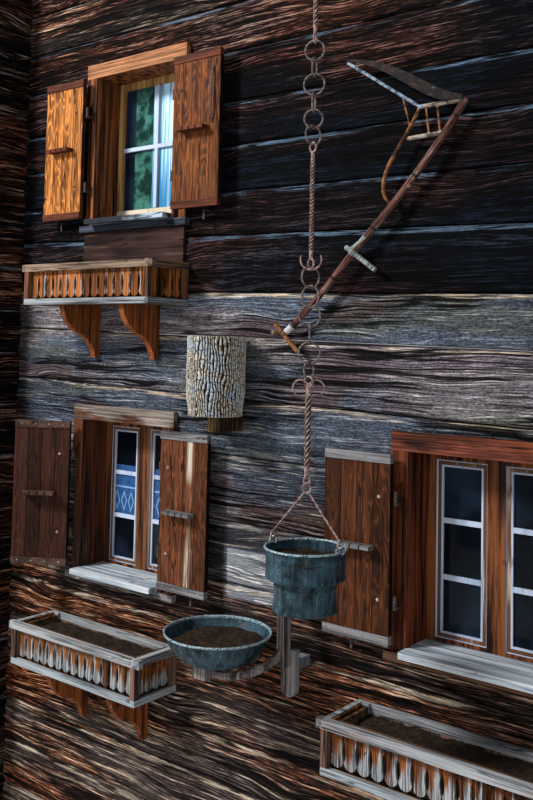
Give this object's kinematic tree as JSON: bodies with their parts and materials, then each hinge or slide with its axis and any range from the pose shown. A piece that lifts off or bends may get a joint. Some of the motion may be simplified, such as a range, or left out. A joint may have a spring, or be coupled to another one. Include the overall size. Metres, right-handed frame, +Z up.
{
  "type": "log wall section of an alpine chalet, with shuttered windows",
  "caption": "Log wall section of an alpine chalet with shuttered windows, fretted flower boxes, planters, a kettle chain with a tub, and a scythe.",
  "frame": {"origin": "middle of the wall's length and thickness, at its base", "axes": "+Z up, +X to the right along the wall, -Y out of the wall's front"},
  "size_m": [4.82, 1.6439, 5.4],
  "materials": {
    "log_wood": "hand-hewn softwood logs, sun-browned and weathered grey on the edges",
    "casing_wood": "light larch casing boards, weathered",
    "sill_wood": "bare boards bleached grey-white",
    "sash_wood": "oiled ochre-brown sash wood with worn pale bars",
    "window_glass": "old window glass with a dark room behind it",
    "shutter_wood": "sun-browned shutter boards",
    "forged_iron": "hand-forged iron, dull and slightly rusted",
    "rail_wood": "bleached grey rails and posts",
    "slat_wood": "orange-brown fretted slats with grey ends",
    "bracket_wood": "sawn brackets, orange-brown",
    "bark": "furrowed grey bark on a hollowed log",
    "zinc": "dull blue-grey zinc sheet",
    "potting_soil": "dark crumbly potting soil",
    "driftwood": "grey weathered board, post and branch",
    "handle_wood": "worn ash wood",
    "blade_steel": "dull worn blade steel"
  },
  "bodies": {
    "root": {"base_logs": "log_wood", "lower_pier_logs": "log_wood", "belt_logs": "log_wood", "upper_pier_logs": "log_wood", "crown_logs": "log_wood", "cross_wall_logs": "log_wood", "upper_window_frame": "casing_wood", "upper_sash": "sash_wood", "upper_flower_box": "rail_wood", "upper_box_slats": "slat_wood", "lower_left_window_frame": "casing_wood", "lower_left_sash": "sash_wood", "lower_left_flower_box": "rail_wood", "lower_left_box_slats": "slat_wood", "lower_right_window_frame": "casing_wood", "lower_right_sash": "sash_wood", "lower_right_flower_box": "rail_wood", "lower_right_box_slats": "slat_wood", "window_sills": "sill_wood", "window_glass": "window_glass", "shutter_pintles": "forged_iron", "shutter_catches": "forged_iron", "chain_arm": "forged_iron", "chain_rods": "forged_iron", "chain_links": "forged_iron", "box_brackets": "bracket_wood", "log_planter": "bark", "zinc_basin": "zinc", "hanging_tub": "zinc", "potting_soil": "potting_soil", "planter_brackets": "driftwood", "scythe_snath": "handle_wood", "scythe_cradle": "handle_wood", "wall_pegs": "handle_wood", "scythe_blade": "blade_steel"},
    "upper_left_leaf": {"upper_left_shutter": "shutter_wood", "upper_left_shutter_hinges": "forged_iron"},
    "upper_right_leaf": {"upper_right_shutter": "shutter_wood", "upper_right_shutter_hinges": "forged_iron"},
    "lower_left_left_leaf": {"lower_left_left_shutter": "shutter_wood", "lower_left_left_shutter_hinges": "forged_iron"},
    "lower_left_right_leaf": {"lower_left_right_shutter": "shutter_wood", "lower_left_right_shutter_hinges": "forged_iron"},
    "lower_right_left_leaf": {"lower_right_left_shutter": "shutter_wood", "lower_right_left_shutter_hinges": "forged_iron"},
    "lower_right_right_leaf": {"lower_right_right_shutter": "shutter_wood", "lower_right_right_shutter_hinges": "forged_iron"}
  },
  "joints": [
    {"name": "upper_left_shutter_hinge", "type": "hinge", "parent": "root", "child": "upper_left_leaf", "pos_m": [-1.232, -0.178, 4.1715], "axis": [0, 0, 1], "range_deg": [0, 180]},
    {"name": "upper_right_shutter_hinge", "type": "hinge", "parent": "root", "child": "upper_right_leaf", "pos_m": [-0.496, -0.178, 4.1715], "axis": [0, 0, 1], "range_deg": [-180, 0]},
    {"name": "lower_left_left_shutter_hinge", "type": "hinge", "parent": "root", "child": "lower_left_left_leaf", "pos_m": [-1.256, -0.178, 2.0825], "axis": [0, 0, 1], "range_deg": [-30, 150]},
    {"name": "lower_left_right_shutter_hinge", "type": "hinge", "parent": "root", "child": "lower_left_right_leaf", "pos_m": [-0.52, -0.178, 2.0825], "axis": [0, 0, 1], "range_deg": [-180, 0]},
    {"name": "lower_right_left_shutter_hinge", "type": "hinge", "parent": "root", "child": "lower_right_left_leaf", "pos_m": [0.975, -0.178, 2.0825], "axis": [0, 0, 1], "range_deg": [0, 180]},
    {"name": "lower_right_right_shutter_hinge", "type": "hinge", "parent": "root", "child": "lower_right_right_leaf", "pos_m": [1.737, -0.178, 2.0825], "axis": [0, 0, 1], "range_deg": [-180, 0]}
  ]
}
